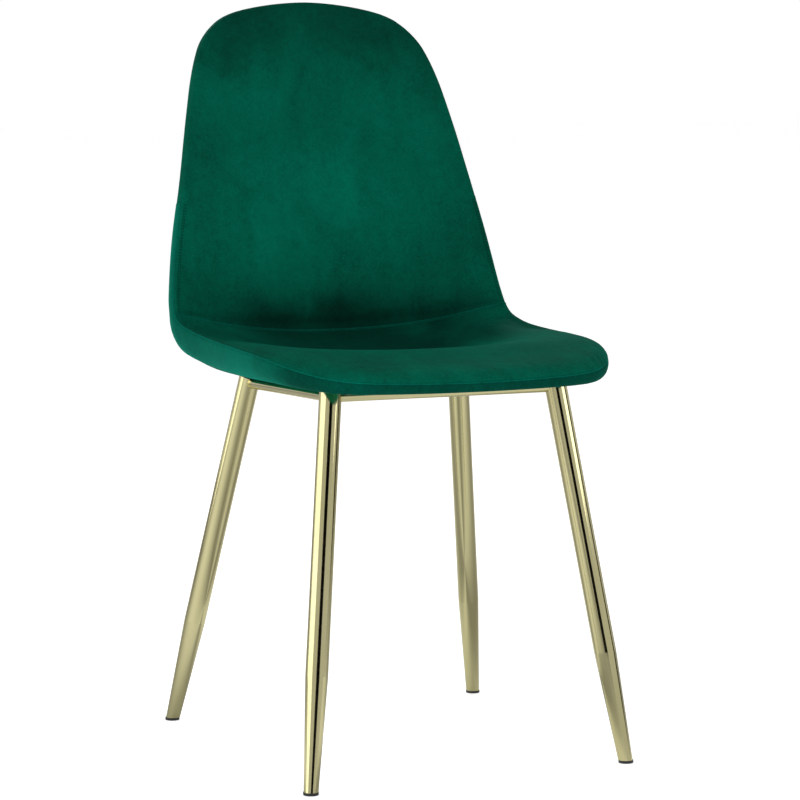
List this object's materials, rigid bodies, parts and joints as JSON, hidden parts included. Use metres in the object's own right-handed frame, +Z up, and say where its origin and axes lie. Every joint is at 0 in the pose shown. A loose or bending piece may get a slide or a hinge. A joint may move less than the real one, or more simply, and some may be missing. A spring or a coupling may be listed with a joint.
{
  "type": "dining chair",
  "caption": "Velvet upholstered one-piece shell dining chair on splayed, tapered brass-coloured metal legs with a welded under-seat frame.",
  "frame": {"origin": "on the floor, at the middle of the chair's footprint box", "axes": "+Z up, -Y the way the sitter faces, +X the sitter's left"},
  "size_m": [0.4284, 0.5236, 0.8591],
  "materials": {
    "velvet": "dark emerald short-pile velvet",
    "nonwoven": "thin black non-woven cloth",
    "foam": "upholstery foam",
    "plywood": "moulded plywood",
    "brass": "polished pale brass plating on steel",
    "zinc": "zinc-plated steel",
    "black_plastic": "moulded black plastic"
  },
  "bodies": {
    "root": {"shell_core": "plywood", "seat_foam": "foam", "back_foam": "foam", "rear_padding": "foam", "seat_cover": "velvet", "back_cover": "velvet", "outer_cover": "velvet", "side_band_left": "velvet", "side_band_right": "velvet", "front_band": "velvet", "top_band": "velvet", "dust_cover": "nonwoven", "staples": "zinc", "leg_front_left": "brass", "leg_front_right": "brass", "leg_rear_left": "brass", "leg_rear_right": "brass", "side_rail_left": "brass", "side_rail_right": "brass", "front_crossbar": "brass", "rear_crossbar": "brass", "mounting_tabs": "brass", "seat_bolts": "zinc", "flat_washers": "zinc", "spring_washers": "zinc", "tee_nuts": "zinc", "leg_top_plugs": "black_plastic", "foot_cap_front_left": "black_plastic", "foot_cap_front_right": "black_plastic", "foot_cap_rear_left": "black_plastic", "foot_cap_rear_right": "black_plastic"}
  },
  "joints": []
}
